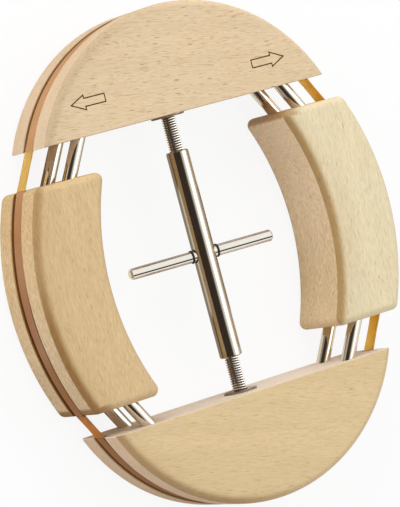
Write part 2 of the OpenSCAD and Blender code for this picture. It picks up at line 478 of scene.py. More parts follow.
def beech(name, along, slope, offset, face, wall, worn_and_shaded, rim, worn_and_shaded_rim, figure, fuzz,
          painted_flat_light=None, darkened_end=0, far_end=1.0, drift=None):
    """Satin lacquered beech.

    along, slope: the grain's axis, and its turn on the face in degrees
    offset: the place in the plank that the block was cut from
    face, wall, worn_and_shaded: tones of the faces, the walls, and the edge that is darkened partly by hand
    wear and partly by painted shade
    rim: centre and radius of the grooved wall
    worn_and_shaded_rim: the same for that darkened edge, with -1 after it where the wood lies outside the
    circle
    figure, fuzz: strength of the dark marks and of the finest fibres
    painted_flat_light: paler tone of an end block's flat, which is painted light; an end block's edge is
    darkened less towards the right
    darkened_end: 1 or -1 for the end of a side block, towards +Y or -Y, whose corner also gets this wear
    and painted shade
    far_end: share of the darkening that is left at a side block's other end
    drift: tints between which the colour of a side block's walls drifts, from the rear to the front; the
    right block's paler front end is painted light
    """
    material, tree, spot = new_finish(name)
    place = tree.parts(spot)
    plan = tree.vector("MULTIPLY", spot, (1, 1, 0))
    levelness = abs(tree.parts(spot.output("Normal")).output("Z"))
    on_wall = tree.ramp(levelness, *WALL_LEVEL)
    on_face = tree.ramp(levelness, *FACE_LEVEL)

    def measured(grain, length, width):
        """A place along and across the grain, measured in marks of this length and width."""
        stretch = [1 / width] * 3
        stretch[along] = 1 / length
        return tree.vector("MULTIPLY", grain, stretch)

    def marks(length, width, detail, roughness, absent, full):
        """How strong one kind of mark is."""
        return tree.ramp(tree.noise(measured(plank, length, width), detail, roughness), absent, full)

    def shade(parts):
        """The face's tone, with its red, green and blue multiplied."""
        return tuple(c * part for c, part in zip(face, (*parts, 1)))

    def inside(centre, radius, side=1):
        """How far a point lies inside a curved wall, in plan."""
        reach = tree.vector("DISTANCE", plan, centre.to_3d(), output="Value")
        return radius - reach if side > 0 else reach - radius

    # The plank, with its grain straight and then bent
    turn = {"Vector": spot, "Angle": math.radians(slope)}
    straight = tree.vector("ADD", tree.node("VectorRotate", {"rotation_type": "Z_AXIS"}, turn), offset)
    sway = [BEND_REACH] * 3
    sway[along] = 0.0
    bend = tree.noise(measured(straight, *BEND_SIZE)).output("Color")
    plank = tree.vector("ADD", straight, tree.vector("MULTIPLY", bend, sway))

    # Its figure
    fibre = marks(*BEECH_FIBRE)
    strokes = marks(*BEECH_STROKE)
    cell = tree.node("TexVoronoi", {}, {"Vector": measured(plank, *FLECK_SIZE), "Scale": 1.0})
    lot = tree.node("SeparateColor", {}, {"Color": cell.output("Color")})
    fleck = tree.ramp(cell, *FLECK_EDGE) * tree.ramp(lot, *FLECK_LOT)
    pale = marks(*BEECH_BAND) * BAND_SHARE + fibre * (1 - BAND_SHARE)
    wood = tree.mixed(pale, shade(DARK_FIBRE), shade(PALE_FIBRE))
    wood = tree.tinted(marks(*BEECH_CLOUD) * CLOUD_SHARE, wood, CLOUD_TINT)
    wood = tree.mixed(strokes * (STROKE_SHARE * figure), wood, shade(STROKE_SHADE))
    wood = tree.mixed(fleck * (FLECK_SHARE * figure), wood, shade(FLECK_SHADE))

    # The walls' own tones and finest fibres
    wood = tree.tinted(on_wall, wood, ratio(wall, face))
    hairs = tree.mixed(marks(*BEECH_HAIR), DARK_HAIR, PALE_HAIR)
    wood = tree.tinted(fuzz * between(on_wall, HAIR_ON_FACE, 1.0), wood, hairs)
    # Painted light: an end block's flat is made paler
    if painted_flat_light:
        on_flat = on_wall * tree.ramp(abs(place.output("Y")), *FLAT_REACH)
        wood = tree.tinted(on_flat, wood, ratio(painted_flat_light, wall))
    # The walls' tint drifts from the rear to the front; on the right block the paler front end is painted
    # light
    if drift:
        wood = tree.tinted(on_wall, wood, tree.mixed(tree.ramp(place.output("Y"), *DRIFT_Y), *drift))
    wood = tree.tinted(on_wall * marks(*BEECH_STIPPLE) * STIPPLE_SHARE, wood, STIPPLE_TINT)

    # Darkening along the edges: partly hand wear, partly painted shade
    edge = inside(*worn_and_shaded_rim)
    stripe = tree.ramp(edge, *STRIPE_REACH) * on_face
    fade = tree.ramp(edge, *FADE_REACH) * on_face
    wear_and_shade = stripe * STRIPE_SHARE + fade * FADE_SHARE
    if painted_flat_light:
        wear_and_shade = wear_and_shade * (1 - tree.ramp(place.output("X"), *UNDARKENED_X))
    if darkened_end:
        to_end = SIDE_LIE + SIDE_HALF - place.output("Y") * darkened_end
        if far_end < 1:
            wear_and_shade = wear_and_shade * between(tree.ramp(to_end, *FAR_END), 1.0, far_end)
        corner = tree.ramp(to_end, *CORNER_END) * tree.ramp(edge, *CORNER_REACH)
        wear_and_shade = tree.math("MAXIMUM", wear_and_shade, corner * CORNER_SHARE)
    wood = tree.tinted(wear_and_shade, wood, ratio(worn_and_shaded, face))

    # The groove: painted shade on its walls, and a painted highlight on its lips
    depth = inside(*rim)
    off_middle = abs(place.output("Z") - MID_Z)
    # Painted shade inside the groove
    in_groove = tree.ramp(off_middle, *GROOVE_LEVEL) * tree.ramp(depth, *GROOVE_MOUTH)
    in_groove = in_groove * tree.ramp(depth, *GROOVE_BOTTOM)
    wood = tree.tinted(in_groove, wood, GROOVE_TINT)
    # Painted highlight along the groove's lips, on the walls outside the groove
    lip = tree.ramp(off_middle, *LIP_LEVEL) * tree.ramp(depth, *LIP_DEPTH)
    wood = tree.tinted(lip * on_wall * (1 - in_groove), wood, LIP_TINT)

    # The lacquer
    roughness = LACQUER_ROUGH + fibre * FIBRE_ROUGH + fleck * FLECK_ROUGH
    relief = fibre * FIBRE_HEIGHT - fleck - strokes * STROKE_HEIGHT
    tree.surface({"Base Color": wood, "Roughness": roughness,
                  "Normal": tree.bump(relief, *BEECH_RELIEF), "Specular IOR Level": LACQUER_SHINE})
    return material


# Other finishes. Two numbers for a roughness are its least and its most, and a relief has a strength and
# a depth.
FINE_DETAIL = 3.0
STREAKY = 0.6

SCORCH_SCALE = 900.0
DEEP_SCORCH = colour(78, 46, 18)
PALE_SCORCH = colour(128, 86, 44)
SCORCH_ROUGH = (0.6, 0.9)
SCORCH_SHINE = 0.2

HAZE_SCALE = 140.0
HAZE_SHADE = 0.94
HAZE_ROUGH = 0.04
MARK_ROUGH = 0.05
MARK_RELIEF = (0.04, 0.02 * MM)
OLD_OIL = (0.1, 0.055, 0.038, 1.0)
OIL_COVER = 0.9
OIL_ROUGH = 0.3
OIL_METALLIC = 0.2
OILY_CREST_R = 0.94 * SCREW_R

DUST_SCALE = 1500.0
RING_BLACK = colour(18, 17, 16)
RING_DUST = colour(44, 42, 39)
RING_ROUGH = (0.45, 0.7)
RING_RELIEF = (0.2, 0.03 * MM)

GUM_LINES = (9.0 * MM, 9.0 * MM, 0.4 * MM)
GUM_CLOUD_SCALE = 110.0
GUM_CLOUD_SHARE = 0.6
GUM_ROUGH = (0.38, 0.52)
GUM_RELIEF = (0.12, 0.05 * MM)
GUM_IOR = 1.45
GUM_CLEAR = 0.7
# Band in the groove: painted shade towards the rear, a painted sheen further back, and a painted shadow of
# the lip along the upper edge
REAR_SHADE_Y = (70.0 * MM, -10.0 * MM)
REAR_SHADE_TINT = (0.62, 0.46, 0.28, 1.0)
SHEEN_Y = (-4.0 * MM, -26.0 * MM)
SHEEN_TINT = (0.65, 0.56, 0.5, 1.0)
LIP_SHADOW_Y = (12.0 * MM, -6.0 * MM)
LIP_SHADOW_Z = (MID_Z + BAND_W / 2 - 1.2 * MM, MID_Z + BAND_W / 2 - 0.6 * MM)
LIP_SHADOW_SHARE = 0.85
LIP_SHADOW_TINT = (0.22, 0.17, 0.12, 1)


def scorched_wood():
    """Brown burnt lines of the arrows, uneven as a hot stamp leaves them."""
    material, tree, spot = new_finish("scorched beech")
    patches = tree.noise(spot, FINE_DETAIL, scale=SCORCH_SCALE)
    brown = tree.mixed(patches, DEEP_SCORCH, PALE_SCORCH)
    tree.surface({"Base Color": brown, "Roughness": between(patches, *SCORCH_ROUGH),
                  "Specular IOR Level": SCORCH_SHINE})
    return material


def bright_steel(name, metal, rough, mark, oily_root=None):
    """Polished nickel-plated steel.

    metal, rough: its colour and its least roughness
    mark: size of its faint drawing marks on X, Y and Z
    oily_root: radius of the roots of a thread on the spindle's axis, which are dark with old oil
    """
    material, tree, spot = new_finish(name)
    marks = tree.noise(tree.vector("DIVIDE", spot, mark), FINE_DETAIL, STREAKY)
    haze = tree.noise(spot, scale=HAZE_SCALE)
    shine = tree.mixed(haze, tuple(c * HAZE_SHADE for c in metal), metal)
    roughness = rough + marks * MARK_ROUGH + haze * HAZE_ROUGH
    metallic = 1.0
    if oily_root:
        off_axis = tree.vector("SUBTRACT", tree.vector("MULTIPLY", spot, (1, 0, 1)), (0, 0, MID_Z))
        oil = tree.ramp(tree.vector("LENGTH", off_axis, output="Value"), OILY_CREST_R, oily_root)
        shine = tree.mixed(oil * OIL_COVER, shine, OLD_OIL)
        roughness = roughness + oil * OIL_ROUGH
        metallic = between(oil, 1.0, OIL_METALLIC)
    tree.surface({"Base Color": shine, "Metallic": metallic, "Roughness": roughness,
                  "Normal": tree.bump(marks, *MARK_RELIEF)})
    return material


def black_rubber():
    """Soft black rings, a little dusty."""
    material, tree, spot = new_finish("ring rubber")
    dust = tree.noise(spot, FINE_DETAIL, scale=DUST_SCALE)
    black = tree.mixed(dust, RING_BLACK, RING_DUST)
    tree.surface({"Base Color": black, "Roughness": between(dust, *RING_ROUGH),
                  "Normal": tree.bump(dust, *RING_RELIEF)})
    return material


def amber_rubber(name, deep, pale, through=0.0):
    """Natural rubber with faint stretch lines along the band. Through is the share of light that passes.
    Where none does, in the groove, it is darker towards the rear with painted shade, greyer further back
    with a painted sheen, and darker along its upper edge with a painted shadow of the groove's lip."""
    material, tree, spot = new_finish(name)
    lines = tree.noise(tree.vector("DIVIDE", spot, GUM_LINES), FINE_DETAIL, STREAKY)
    cloud = tree.noise(spot, scale=GUM_CLOUD_SCALE)
    gum = tree.mixed(cloud * GUM_CLOUD_SHARE + lines * (1 - GUM_CLOUD_SHARE), deep, pale)
    if not through:
        # Painted shade towards the rear, a painted sheen further back, and the lip's painted shadow on the
        # upper edge
        place = tree.parts(spot)
        along = place.output("Y")
        shade_and_sheen = tree.mixed(tree.ramp(along, *SHEEN_Y), REAR_SHADE_TINT, SHEEN_TINT)
        gum = tree.tinted(tree.ramp(along, *REAR_SHADE_Y), gum, shade_and_sheen)
        upper = tree.ramp(place.output("Z"), *LIP_SHADOW_Z)
        gum = tree.tinted(upper * tree.ramp(along, *LIP_SHADOW_Y) * LIP_SHADOW_SHARE, gum, LIP_SHADOW_TINT)
    tree.surface({"Base Color": gum, "Roughness": between(lines, *GUM_ROUGH),
                  "Normal": tree.bump(lines, *GUM_RELIEF),
                  "Transmission Weight": through, "IOR": GUM_IOR})
    return material


FRONT_RIM = (END_CENTRE, END_R)
REAR_RIM = (-END_CENTRE, END_R)
LEFT_RIM = (-SIDE_CENTRE, SIDE_OUTER_R)
RIGHT_RIM = (SIDE_CENTRE, SIDE_OUTER_R)
RIGHT_HOLLOW = (INNER_CENTRE, SIDE_INNER_R, -1)
# Painted light: the paler tone of the end blocks' flats
FLAT_LIGHT_BEECH = colour(238, 222, 205)
FRONT_BEECH = beech(
    "front beech", along=0, slope=8, offset=(0.31, 0.12, 0.05),
    face=colour(224, 199, 163), wall=colour(216, 191, 161), worn_and_shaded=colour(194, 170, 137),
    rim=FRONT_RIM, worn_and_shaded_rim=FRONT_RIM, figure=1.15, fuzz=0.3, painted_flat_light=FLAT_LIGHT_BEECH)
REAR_BEECH = beech(
    "rear beech", along=0, slope=14, offset=(0.07, 0.53, 0.41),
    face=colour(221, 195, 150), wall=colour(222, 194, 165), worn_and_shaded=colour(180, 148, 104),
    rim=REAR_RIM, worn_and_shaded_rim=REAR_RIM, figure=0.6, fuzz=0.3, painted_flat_light=FLAT_LIGHT_BEECH)
LEFT_BEECH = beech(
    "left beech", along=1, slope=0, offset=(0.63, 0.22, 0.17),
    face=colour(216, 187, 141), wall=colour(208, 179, 136), worn_and_shaded=colour(152, 113, 64),
    rim=LEFT_RIM, worn_and_shaded_rim=LEFT_RIM, figure=0.75, fuzz=1.0,
    darkened_end=-1, far_end=0.7, drift=(GREYER, YELLOWER))
RIGHT_BEECH = beech(
    "right beech", along=1, slope=4, offset=(0.19, 0.71, 0.29),
    face=colour(231, 216, 180), wall=colour(231, 204, 169), worn_and_shaded=colour(174, 142, 94),
    rim=RIGHT_RIM, worn_and_shaded_rim=RIGHT_HOLLOW, figure=0.8, fuzz=0.8,
    darkened_end=1, drift=(REDDER, PALER))
SCORCHED = scorched_wood()
ROD_STEEL = bright_steel(
    "rod steel", metal=colour(230, 220, 202), rough=0.06, mark=(14 * MM, 14 * MM, 0.25 * MM))
SHAFT_STEEL = bright_steel(
    "shaft steel", metal=colour(208, 200, 187), rough=0.08, mark=(0.3 * MM, 20 * MM, 0.3 * MM))
SCREW_STEEL = bright_steel(
    "screw steel", metal=colour(238, 232, 220), rough=0.1, mark=(1 * MM, 0.2 * MM, 1 * MM),
    oily_root=SCREW_ROOT_R)
BAR_STEEL = bright_steel(
    "bar steel", metal=colour(240, 236, 226), rough=0.05, mark=(20 * MM, 0.3 * MM, 0.3 * MM))
INSERT_STEEL = bright_steel(
    "insert steel", metal=colour(160, 143, 121), rough=0.24, mark=(1 * MM, 1 * MM, 1 * MM))
RUBBER = black_rubber()
# Painted light and shade: one rubber in lit and shaded copies. The seated strips are an opaque, darker copy
# as painted shade in the groove; the runs are golden, pale or brown by how light falls on each gap.
AMBER_SEATED = amber_rubber("amber seated", colour(175, 124, 79), colour(203, 156, 114))
GOLDEN_RUN = amber_rubber("golden run", colour(238, 171, 40), colour(253, 212, 80), through=GUM_CLEAR)
PALE_RUN = amber_rubber("pale run", colour(234, 185, 77), colour(252, 226, 143), through=GUM_CLEAR)
BROWN_RUN = amber_rubber("brown run", colour(209, 132, 49), colour(231, 165, 95), through=GUM_CLEAR)


# Wooden blocks

def edge_levels():
    """(inset, height) of the loops that round a block's lower and upper edges."""
    lower = []
    for step in range(EDGE_STEPS + 1):
        turn = math.pi / 2 * step / EDGE_STEPS
        lower.append((EDGE_R * (1 - math.sin(turn)), EDGE_R * (1 - math.cos(turn))))
    return lower + [(inset, BLOCK_T - height) for inset, height in reversed(lower)]


def end_block_loop(inset, height):
    """One level of the front block: its rim's arc, closed by the flat and the flat's small chamfers."""
    radius = END_R - inset
    flat = FLAT_Y + max(0.0, FLAT_CHAMFER - min(height, BLOCK_T - height))
    first = math.asin((flat + FLAT_CHAMFER - END_CENTRE.y) / radius)
    corner = math.sqrt(radius ** 2 - (flat - END_CENTRE.y) ** 2) - FLAT_CHAMFER
    loop = [Vector((LIE + corner, flat, height))]
    for step in range(RIM_STEPS + 1):
        turn = first + (math.pi - 2 * first) * step / RIM_STEPS
        across = LIE + radius * math.cos(turn)
        loop.append(Vector((across, END_CENTRE.y + radius * math.sin(turn), height)))
    return loop + [Vector((LIE - corner, flat, height))]


def fan(corner, start, end):
    """(point, outward direction) pairs round a corner of the side block's outline."""
    turn = start.angle_signed(end)
    steps = [Matrix.Rotation(-turn * i / CORNER_STEPS, 2) @ start for i in range(CORNER_STEPS + 1)]
    return [(corner, outward) for outward in steps]


def side_outline():
    """(point, outward direction) pairs of the right block's outline, drawn in by its edge rounding."""
    half = SIDE_HALF - EDGE_R
    outer_r = SIDE_OUTER_R - EDGE_R
    inner_r = SIDE_INNER_R + EDGE_R
    outer = math.asin(half / outer_r)
    inner = math.asin(half / inner_r)
    ahead = Vector((0, 1))
    outward = [Vector((math.cos(a), math.sin(a)))
               for a in (outer * (2 * i / RIM_STEPS - 1) for i in range(RIM_STEPS + 1))]
    inward = [Vector((-math.cos(a), -math.sin(a)))
              for a in (inner * (1 - 2 * i / RIM_STEPS) for i in range(RIM_STEPS + 1))]
    rim = [(SIDE_CENTRE + n * outer_r, n) for n in outward]
    hollow = [(INNER_CENTRE - n * inner_r, n) for n in inward]
    front_end = fan(rim[-1][0], outward[-1], ahead) + fan(hollow[0][0], ahead, inward[0])
    rear_end = fan(hollow[-1][0], inward[-1], -ahead) + fan(rim[0][0], -ahead, outward[0])
    return rim[:-1] + front_end + hollow[1:-1] + rear_end[:-1]


def rim_groove(centre, radius):
    """Cutter for the band's groove, with chamfered lips."""
    floor = radius - GROOVE_D
    lip = radius - GROOVE_LIP
    low = MID_Z - GROOVE_W / 2
    high = MID_Z + GROOVE_W / 2
    flare = GROOVE_LIP + OVERCUT
    profile = [(low, floor), (high, floor), (high, lip), (high + flare, lip + flare),
               (low - flare, lip + flare), (low, lip)]
    return turned("groove", profile, centre.to_3d(), UPRIGHT, ring=True, count=GROOVE_ROUND)


def outline_arrow(tip, pointing):
    """Cutter for an outline arrow on the front block's face, pointing to the left (-1) or the right (1)."""
    corners = [(0, 0), (ARROW_HEAD, ARROW_HALF_HEAD), (ARROW_HEAD, ARROW_HALF_STEM),
               (ARROW_LEN, ARROW_HALF_STEM), (ARROW_LEN, -ARROW_HALF_STEM),
               (ARROW_HEAD, -ARROW_HALF_STEM), (ARROW_HEAD, -ARROW_HALF_HEAD)]
    path = [tip + Vector((-pointing * back, side)) for back, side in corners]
    half_line = ARROW_LINE / 2
    loops = []
    for offset, height in ((-half_line, -ARROW_DEPTH), (half_line, -ARROW_DEPTH),
                           (half_line, OVERCUT), (-half_line, OVERCUT)):
        loop = []
        for i, point in enumerate(path):
            before = (point - path[i - 1]).normalized()
            after = (path[(i + 1) % len(path)] - point).normalized()
            mitre = (before + after).normalized().orthogonal()
            reach = offset / mitre.dot(before.orthogonal())
            loop.append((point + mitre * reach).to_3d() + UPRIGHT * (BLOCK_T + height))
        loops.append(loop)
    cutter = skinned("arrow", loops, ring=True)
    cutter.data.materials.append(SCORCHED)
    return cutter


def rod_bores(block, seat):
    """Cutters for the bores of one block: seats in an end block, or sliding bores in a side block."""
    bores = []
    for node, axis in RODS.items():
        if block not in node:
            continue
        centre, start, end = span(node, axis)
        if seat:
            reach = (start - GLUE_GAP, start + ROD_SEAT + BORE_OVERRUN)
            radius = ROD_R + GLUE_GAP
        else:
            reach = (end - ROD_REACH - BORE_OVERRUN, end + ROD_RUN)
            radius = ROD_R + SLIDE_GAP
        bores.append(turned("bore", [(reach[0], radius), (reach[1], radius)], centre, axis))
    return bores


def end_block(end, half, material):
    """The front or rear block, with its groove, its spindle hole and its rod seats."""
    loops = [turned_half(end_block_loop(*level), half) for level in edge_levels()]
    block = skinned(end + "_block_beech", loops)
    block.data.materials.append(material)
    mouth = Vector((0, half * FLAT_Y, MID_Z))
    stepped = [(-OVERCUT, BARREL_R + GLUE_GAP), (BARREL_LEN + GLUE_GAP, BARREL_R + GLUE_GAP),
               (BARREL_LEN + GLUE_GAP, HOLE_R), (HOLE_DEPTH, HOLE_R)]
    hole = turned("hole", stepped, mouth, ALONG_Y * half)
    groove = rim_groove(END_CENTRE * half, END_R)
    return carved(block, [groove, hole, *rod_bores("rod_" + end, seat=True)])


def side_block(side, half, material):
    """The right or left block, with its groove and its sliding bores."""
    outline = side_outline()
    loops = []
    for inset, height in edge_levels():
        level = [(point + outward * (EDGE_R - inset)).to_3d() + UPRIGHT * height
                 for point, outward in outline]
        loops.append(turned_half(level, half))
    block = skinned(side + "_block_beech", loops)
    block.data.materials.append(material)
    groove = rim_groove(SIDE_CENTRE * half, SIDE_OUTER_R)
    return carved(block, [groove, *rod_bores(side, seat=False)])


front_block = end_block("front", 1, FRONT_BEECH)
left_arrow = outline_arrow(Vector((-ARROW_X - ARROW_LEN / 2, FLAT_Y + ARROW_LEFT_Y)), -1)
right_arrow = outline_arrow(Vector((ARROW_X + ARROW_LEN / 2, FLAT_Y + ARROW_RIGHT_Y)), 1)
carved(front_block, [left_arrow, right_arrow])
finished(front_block, FRONT_BEECH, "front", "front_block")
finished(end_block("rear", -1, REAR_BEECH), REAR_BEECH, "rear", "rear_block")
finished(side_block("right", 1, RIGHT_BEECH), RIGHT_BEECH, "right", "right_block")
finished(side_block("left", -1, LEFT_BEECH), LEFT_BEECH, "left", "left_block")


# Guide rods

for node, axis in RODS.items():
    centre, start, end = span(node, axis)
    rod = turned(node + "_steel", chamfered(start, end, ROD_R, ROD_CHAMFER), centre, axis)
    finished(rod, ROD_STEEL, "front" if "front" in node else "rear", node)


# Spindle, screws and inserts

def spindle_shaft():
    """The shaft with its blind end bores and the cross hole for the bar."""
    centre, start, end = span("shaft", ALONG_Y)
    bore = SHANK_R + SHANK_GAP
    face = SHAFT_R - SHAFT_CHAMFER
    profile = [(start + SHANK_LEN, 0), (start + SHANK_LEN, bore), (start, bore), (start, face),
               (start + SHAFT_CHAMFER, SHAFT_R), (end - SHAFT_CHAMFER, SHAFT_R), (end, face),
               (end, bore), (end - SHANK_LEN, bore), (end - SHANK_LEN, 0)]
    shaft = turned("shaft_steel", profile, centre, ALONG_Y, count=SHAFT_ROUND)
    narrow = BAR_R + SLIDE_GAP
    mouth = SHAFT_R - MOUTH_DEPTH
    far = SHAFT_R + OVERCUT
    wide = narrow + MOUTH_FLARE * (far - mouth) / MOUTH_DEPTH
    profile = [(-far, wide), (-mouth, narrow), (mouth, narrow), (far, wide)]
    return carved(shaft, [turned("hole", profile, Vector((0, 0, MID_Z)), BAR_AXIS)])


def thread(length, handed):
    """A plain helical thread that stands on the origin along +Y, longer than the screw by a pitch at each
    end. Handed is 1 for a right-hand thread and -1 for a left-hand one."""
    per_row = len(THREAD_FLANKS)
    rows = THREAD_ROUND * (int(length / SCREW_PITCH) + SPARE_TURNS)
    points = []
    for row in range(rows + THREAD_ROUND + 1):
        turn = handed * math.tau * row / THREAD_ROUND
        for share, radius in THREAD_FLANKS:
            along = SCREW_PITCH * (row / THREAD_ROUND + share - 1)
            points.append((radius * math.sin(turn), along, radius * math.cos(turn)))

    def at(row, place):
        return (row + THREAD_ROUND) * per_row if place == per_row else row * per_row + place

    faces = [(at(row, place), at(row, place + 1), at(row + 1, place + 1), at(row + 1, place))
             for row in range(rows) for place in range(per_row)]
    for row, tip in ((0, -SCREW_PITCH), (rows, SCREW_PITCH * (rows / THREAD_ROUND + 1))):
        rim = [at(row + step, 0) for step in range(THREAD_ROUND)]
        rim += [at(row, place) for place in range(per_row, 0, -1)]
        points.append((0, tip, 0))
        faces += [(rim[i - 1], rim[i], len(points) - 1) for i in range(len(rim))]
    return solid("thread", points, faces)


def screw(name, half, handed):
    """A screw with its thread cut to length, a chamfered tip and the shank that sits in the shaft."""
    low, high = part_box(name)
    length = high.y - low.y - SHANK_LEN
    made = thread(length, handed)
    made.name = name + "_steel"
    envelope = [(0, SCREW_R), (length - SCREW_CHAMFER, SCREW_R), (length, SCREW_R - SCREW_CHAMFER)]
    shank = [(-SHANK_LEN, SHANK_R), (SCREW_PITCH, SHANK_R)]
    carved(made, [turned("envelope", envelope, Vector(), ALONG_Y)], "INTERSECT")
    carved(made, [turned("shank", shank, Vector(), ALONG_Y)], "UNION")
    shoulder = low.y + SHANK_LEN if half > 0 else high.y - SHANK_LEN
    facing = Matrix.Rotation(math.pi * (half < 0), 4, "Z")
    made.data.transform(Matrix.Translation((0, shoulder, MID_Z)) @ facing)
    return made


def insert(name, half):
    """Flanged threaded insert with a chamfered flange and a countersunk mouth."""
    bore = SCREW_R + SHANK_GAP
    mouth = bore + FLANGE_CHAMFER
    profile = [(-FLANGE_T, mouth), (-FLANGE_T, FLANGE_R - FLANGE_CHAMFER),
               (FLANGE_CHAMFER - FLANGE_T, FLANGE_R), (0, FLANGE_R), (0, BARREL_R),
               (BARREL_LEN, BARREL_R), (BARREL_LEN, bore), (FLANGE_CHAMFER - FLANGE_T, bore)]
    return turned(name + "_steel", profile, Vector((0, half * FLAT_Y, MID_Z)), ALONG_Y * half, ring=True)


finished(spindle_shaft(), SHAFT_STEEL, "spindle", "shaft")
finished(screw("front_screw", 1, 1), SCREW_STEEL, "spindle_core", "front_screw")
finished(screw("rear_screw", -1, -1), SCREW_STEEL, "spindle", "rear_screw")
finished(insert("front_insert", 1), INSERT_STEEL, "front", "front_insert")
finished(insert("rear_insert", -1), INSERT_STEEL, "rear", "rear_insert")


# Handle bar and its retaining rings

RINGS = ("handle_ring_left", "handle_ring_right")


def handle_bar():
    """The bar with a groove for each retaining ring."""
    centre, start, end = span("handle_bar", BAR_AXIS)
    floor = RING_R - RING_T / 2 - GLUE_GAP
    half_groove = RING_T / 2 + GLUE_GAP
    profile = chamfered(start, end, BAR_R, BAR_CHAMFER)
    grooves = []
    for node in RINGS:
        place = (middle(node) - centre).dot(BAR_AXIS)
        grooves += [(place - half_groove, BAR_R), (place - half_groove, floor),
                    (place + half_groove, floor), (place + half_groove, BAR_R)]
    return turned("handle_bar_steel", profile[:2] + grooves + profile[2:], centre, BAR_AXIS)


def retaining_ring(node):
    """A round rubber ring in its groove on the bar."""
    turns = [math.tau * i / RING_ROUND for i in range(RING_ROUND)]
    profile = [(RING_T / 2 * math.cos(a), RING_R + RING_T / 2 * math.sin(a)) for a in turns]
    return turned(node + "_rubber", profile, middle(node), BAR_AXIS, ring=True)


finished(handle_bar(), BAR_STEEL, "handle", "handle_bar")
for node in RINGS:
    finished(retaining_ring(node), RUBBER, "handle", node)


# Band

BAND_END_R = END_R - GROOVE_D + BAND_SEAT
BAND_SIDE_R = SIDE_OUTER_R - GROOVE_D + BAND_SEAT
BAND_CORNER_X = SIDE_CENTRE.x + math.sqrt(BAND_SIDE_R ** 2 - SIDE_HALF ** 2)


def band_section():
    """(outward, upward) points of the band's section, round its four small edges."""
    half_w = BAND_W / 2 - BAND_EDGE_R
    half_t = BAND_T / 2 - BAND_EDGE_R
    section = []
    for quarter, (out, up) in enumerate(((1, 1), (-1, 1), (-1, -1), (1, -1))):
        for step in range(BAND_EDGE_STEPS + 1):
            turn = math.pi / 2 * (quarter + step / BAND_EDGE_STEPS)
            section.append((out * half_t + BAND_EDGE_R * math.cos(turn),
                            up * half_w + BAND_EDGE_R * math.sin(turn)))
    return section


def band(name, stations):
    """A stretch of the band through stations: inner point, outward direction and share of its section."""
    section = band_section()
    loops = []
    for point, outward, share in stations:
        core = (point + outward * BAND_T / 2).to_3d() + UPRIGHT * MID_Z
        loops.append([core + outward.to_3d() * (out * share) + UPRIGHT * (up * share)
                      for out, up in section])
    return skinned(name, loops)


def arc_stations(centre, radius, start, end):
    """Stations round an arc, from one angle to another."""
    turns = [start + (end - start) * i / RIM_STEPS for i in range(RIM_STEPS + 1)]
    spokes = [Vector((math.cos(a), math.sin(a))) for a in turns]
    return [(centre + spoke * radius, spoke, 1.0) for spoke in spokes]


def opposite(stations):
    """Stations of the front or right half turned half round."""
    return [(-point, -outward, share) for point, outward, share in stations]


def leaving(side):
    """Where the band leaves the front block's arc on one side, as an angle, and where it reaches the side
    block. Side is 1 for the right and -1 for the left."""
    corner = Vector((side * BAND_CORNER_X, side * SIDE_LIE + SIDE_HALF))
    reach = corner - END_CENTRE
    lift = math.atan2(reach.y, side * reach.x) + math.acos(BAND_END_R / reach.length)
    return (lift if side > 0 else math.pi - lift), corner


def run_stations(side, start, end):
    """The straight run to the side block, or a part of it, drawn thinner in the middle of the gap."""
    turn, corner = leaving(side)
    outward = Vector((math.cos(turn), math.sin(turn)))
    leave = END_CENTRE + outward * BAND_END_R
    edge = (leave.y - FLAT_Y) / (leave.y - corner.y)
    shares = {"arc": 0.0, "flat": edge, "corner": 1.0}
    stations = []
    for step in range(RUN_STEPS + 1):
        share = shares[start] + (shares[end] - shares[start]) * step / RUN_STEPS
        gap = max(0.0, (share - edge) / (1 - edge))
        stations.append((leave.lerp(corner, share), outward, 1 - BAND_NECKING * math.sin(math.pi * gap)))
    return stations


def gap_stations(side):
    """The part of the run that crosses the gap between the front block and a side block."""
    return run_stations(side, "flat", "corner")


def gap_run(name, material, stations):
    """A run of the band that stretches between an end block and a side block."""
    run = band(name, stations)
    run.data.materials.append(material)
    smoothed(run)
    places = [point.to_3d() + UPRIGHT * MID_Z for point, _, _ in stations]
    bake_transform(run)


front_arc = arc_stations(END_CENTRE, BAND_END_R, leaving(1)[0], leaving(-1)[0])
front_arc = run_stations(1, "flat", "arc")[:-1] + front_arc + run_stations(-1, "arc", "flat")[1:]
side_lift = math.asin(SIDE_HALF / BAND_SIDE_R)
side_arc = arc_stations(SIDE_CENTRE, BAND_SIDE_R, -side_lift, side_lift)
# The seated strips take the darker copy of the rubber, as painted shade in the groove
finished(band("band_front_strip", front_arc), AMBER_SEATED, "front", "band_front")
finished(band("band_rear_strip", opposite(front_arc)), AMBER_SEATED, "rear", "band_rear")
finished(band("band_right_strip", side_arc), AMBER_SEATED, "right_band", "band_right")
finished(band("band_left_strip", opposite(side_arc)), AMBER_SEATED, "left_band", "band_left")
# Each run takes a copy of the rubber painted lighter or darker by how light falls on its gap
gap_run("band_run_front_right", GOLDEN_RUN, gap_stations(1))
gap_run("band_run_front_left", PALE_RUN, gap_stations(-1))
gap_run("band_run_rear_left", BROWN_RUN, opposite(gap_stations(1)))
gap_run("band_run_rear_right", GOLDEN_RUN, opposite(gap_stations(-1)))


# Floor, light and camera

# The floor: the share of plain white in what is seen of it. The rest is paint, which takes the shadow.
WHITE = (1.0, 1.0, 1.0, 1.0)
FLOOR_HALF = 4.0
FLOOR_GAP = 0.2 * MM
FLOOR_WHITE = 0.88
FLOOR_PAINT = (0.95, 0.95, 0.95, 1.0)

